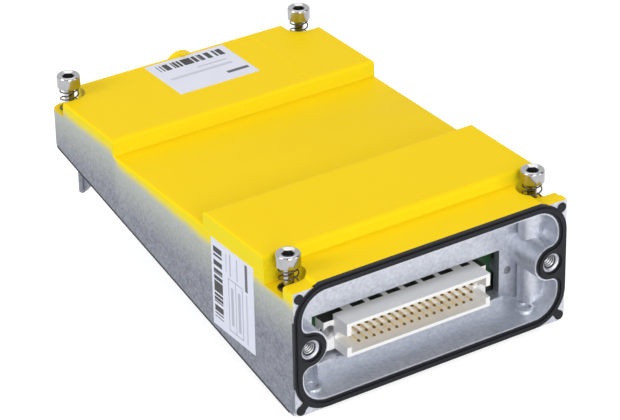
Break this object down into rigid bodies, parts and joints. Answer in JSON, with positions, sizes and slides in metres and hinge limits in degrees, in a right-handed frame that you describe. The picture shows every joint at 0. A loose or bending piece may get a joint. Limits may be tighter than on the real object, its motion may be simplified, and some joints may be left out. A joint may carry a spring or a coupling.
{
  "type": "input output module",
  "caption": "Wedge-shaped input and output module of a safety laser scanner, with a sealed plug bay in its front and captive sprung corner screws.",
  "frame": {"origin": "middle of the bounding box, on its lowest plane, which is the foot below the front wall", "axes": "X across the width, to the right for someone who looks at the plug bay; -Y is the side of the plug bay; +Z is the axis of the corner screws, towards their heads"},
  "size_m": [0.0911, 0.134, 0.0501],
  "materials": {
    "painted_casting": "yellow powder paint on the top, blasted bare metal on the sides",
    "black_rubber": "moulded, satin",
    "bare_aluminium": "satin",
    "bright_steel": "bright plated",
    "spring_steel": "drawn wire",
    "pale_plastic": "moulded, satin",
    "gold_contact": "gold plated",
    "green_board": "solder mask",
    "black_plastic": "moulded",
    "blue_sleeve": "shrunk sleeve",
    "wound_copper": "enamelled",
    "label_paper": "printed film"
  },
  "bodies": {
    "module": {"housing": "painted_casting", "front_gasket": "black_rubber", "base_seal": "black_rubber", "base_plate": "bare_aluminium", "base_plate_screws": "bright_steel", "contact_shroud": "pale_plastic", "contact_pins": "gold_contact", "contact_board": "green_board", "contact_board_screws": "bright_steel", "shroud_rivets": "bright_steel", "board_link": "black_plastic", "board_link_pins": "gold_contact", "main_board": "green_board", "main_board_screws": "bright_steel", "processor_chip": "black_plastic", "driver_chips": "black_plastic", "filter_capacitors": "blue_sleeve", "choke": "wound_copper", "head_socket": "black_plastic", "head_socket_contacts": "gold_contact", "front_left_spring": "spring_steel", "front_right_spring": "spring_steel", "rear_left_spring": "spring_steel", "rear_right_spring": "spring_steel", "top_label": "label_paper", "side_label": "label_paper"},
    "front_left_ring": {"front_left_ring": "spring_steel"},
    "front_left_screw": {"front_left_screw": "bright_steel"},
    "front_right_ring": {"front_right_ring": "spring_steel"},
    "front_right_screw": {"front_right_screw": "bright_steel"},
    "rear_left_ring": {"rear_left_ring": "spring_steel"},
    "rear_left_screw": {"rear_left_screw": "bright_steel"},
    "rear_right_ring": {"rear_right_ring": "spring_steel"},
    "rear_right_screw": {"rear_right_screw": "bright_steel"}
  },
  "joints": [
    {"name": "front_left_press", "type": "slide", "parent": "module", "child": "front_left_ring", "axis": [0, 0, -1], "range_m": [0, 0.0067], "stiffness_N_per_m": 700, "springref_m": -0.001, "deforming": ["front_left_spring"]},
    {"name": "front_left_turn", "type": "hinge", "parent": "front_left_ring", "child": "front_left_screw", "pos_m": [-0.0406, -0.05665, 0.0349], "axis": [0, 0, 1], "continuous": true},
    {"name": "front_right_press", "type": "slide", "parent": "module", "child": "front_right_ring", "axis": [0, 0, -1], "range_m": [0, 0.0067], "stiffness_N_per_m": 700, "springref_m": -0.001, "deforming": ["front_right_spring"]},
    {"name": "front_right_turn", "type": "hinge", "parent": "front_right_ring", "child": "front_right_screw", "pos_m": [0.0406, -0.05665, 0.0349], "axis": [0, 0, 1], "continuous": true},
    {"name": "rear_left_press", "type": "slide", "parent": "module", "child": "rear_left_ring", "axis": [0, 0, -1], "range_m": [0, 0.0067], "stiffness_N_per_m": 700, "springref_m": -0.001, "deforming": ["rear_left_spring"]},
    {"name": "rear_left_turn", "type": "hinge", "parent": "rear_left_ring", "child": "rear_left_screw", "pos_m": [-0.0406, 0.06235, 0.0393], "axis": [0, 0, 1], "continuous": true},
    {"name": "rear_right_press", "type": "slide", "parent": "module", "child": "rear_right_ring", "axis": [0, 0, -1], "range_m": [0, 0.0067], "stiffness_N_per_m": 700, "springref_m": -0.001, "deforming": ["rear_right_spring"]},
    {"name": "rear_right_turn", "type": "hinge", "parent": "rear_right_ring", "child": "rear_right_screw", "pos_m": [0.0406, 0.06235, 0.0393], "axis": [0, 0, 1], "continuous": true}
  ]
}
